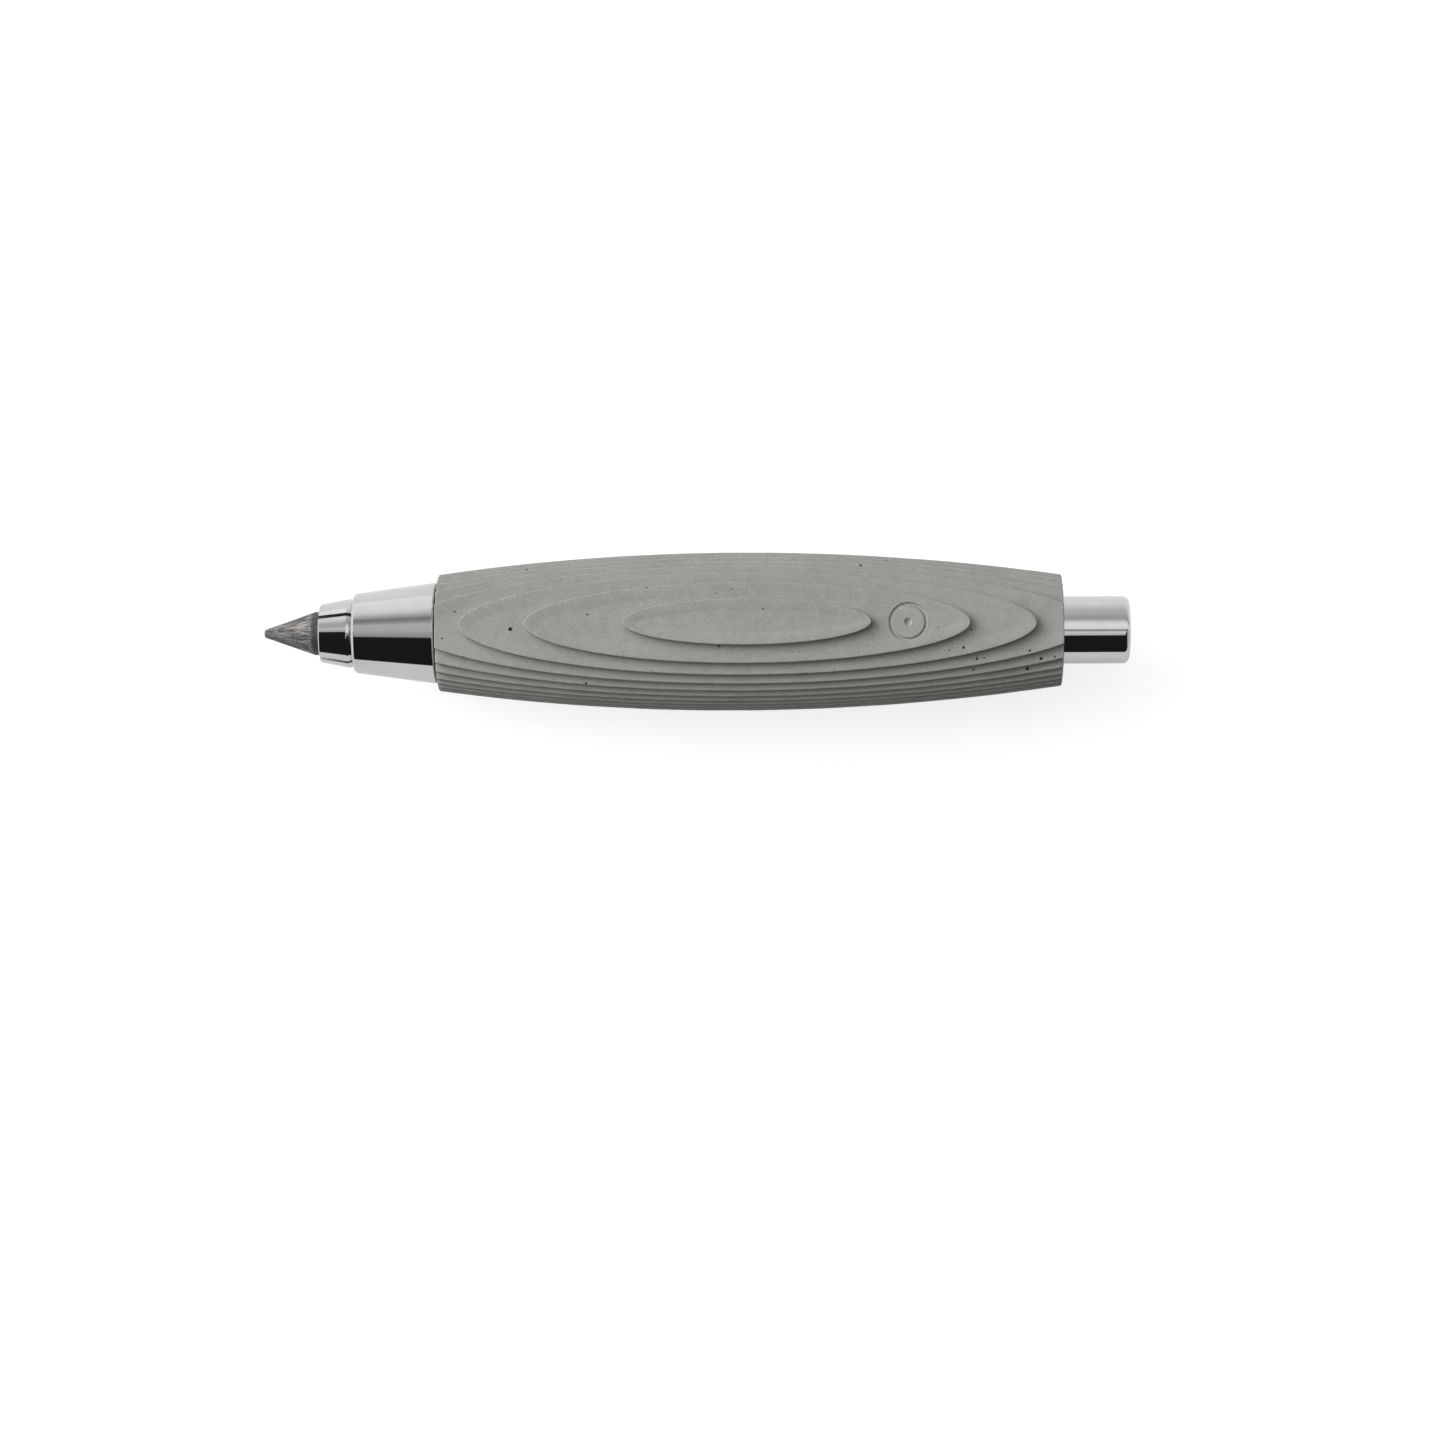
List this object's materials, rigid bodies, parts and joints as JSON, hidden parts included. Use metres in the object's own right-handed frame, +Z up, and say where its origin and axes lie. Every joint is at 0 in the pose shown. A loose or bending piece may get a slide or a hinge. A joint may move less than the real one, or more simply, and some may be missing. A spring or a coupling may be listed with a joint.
{
  "type": "lead holder",
  "caption": "Clutch pencil for thick leads: stepped concrete barrel, chromed nose cone, slit spring collet and a push button that holds a lead pointer.",
  "frame": {"origin": "under the middle of the pencil's whole length, on its centre line, at the level of the flat lowest layer that it rests on", "axes": "+X along the pencil towards the push button, the lead's point towards -X; +Z up, square to the barrel's flat layers"},
  "size_m": [0.1114, 0.0204, 0.0193],
  "materials": {
    "concrete": "matte",
    "chrome": "polished",
    "brass": "satin",
    "spring_steel": "satin",
    "graphite": "satin",
    "rubber": "matte"
  },
  "bodies": {
    "barrel": {"concrete_barrel": "concrete", "barrel_liner": "brass", "rear_bush": "brass", "front_gasket": "rubber", "spring_seat": "spring_steel", "return_spring": "spring_steel", "nose_cone": "chrome"},
    "clutch": {"collet_neck": "brass", "lead_tube": "brass", "spring_collar": "brass", "button_socket": "brass"},
    "jaw_1": {"collet_jaw_1": "chrome"},
    "jaw_2": {"collet_jaw_2": "chrome"},
    "jaw_3": {"collet_jaw_3": "chrome"},
    "jaw_4": {"collet_jaw_4": "chrome"},
    "lead": {"graphite_lead": "graphite"},
    "button": {"push_button": "chrome", "sharpener_body": "brass", "sharpener_blade": "spring_steel", "blade_screw": "spring_steel"}
  },
  "joints": [
    {"name": "push", "type": "slide", "parent": "barrel", "child": "clutch", "axis": [-1, 0, 0], "range_m": [0, 0.0035], "stiffness_N_per_m": 850, "springref_m": -0.008, "deforming": ["return_spring"]},
    {"name": "jaw_1_open", "type": "hinge", "parent": "clutch", "child": "jaw_1", "pos_m": [-0.03022, -0.00104, 0.01267], "axis": [0, 0.9455, 0.3256], "range_deg": [0, 1.7]},
    {"name": "jaw_2_open", "type": "hinge", "parent": "clutch", "child": "jaw_2", "pos_m": [-0.03022, -0.00303, 0.0086], "axis": [0, -0.3256, 0.9455], "range_deg": [0, 1.7]},
    {"name": "jaw_3_open", "type": "hinge", "parent": "clutch", "child": "jaw_3", "pos_m": [-0.03022, 0.00104, 0.00662], "axis": [0, -0.9455, -0.3256], "range_deg": [0, 1.7]},
    {"name": "jaw_4_open", "type": "hinge", "parent": "clutch", "child": "jaw_4", "pos_m": [-0.03022, 0.00303, 0.01069], "axis": [0, 0.3256, -0.9455], "range_deg": [0, 1.7]},
    {"name": "lead_feed", "type": "slide", "parent": "clutch", "child": "lead", "axis": [-1, 0, 0], "range_m": [-0.013, 0.02]},
    {"name": "button_off", "type": "slide", "parent": "clutch", "child": "button", "axis": [1, 0, 0], "range_m": [0, 0.012]}
  ],
  "couplings": [
    {"joint": "jaw_1_open", "follows": "push", "rad_per_m": 8},
    {"joint": "jaw_2_open", "follows": "push", "rad_per_m": 8},
    {"joint": "jaw_3_open", "follows": "push", "rad_per_m": 8},
    {"joint": "jaw_4_open", "follows": "push", "rad_per_m": 8}
  ]
}
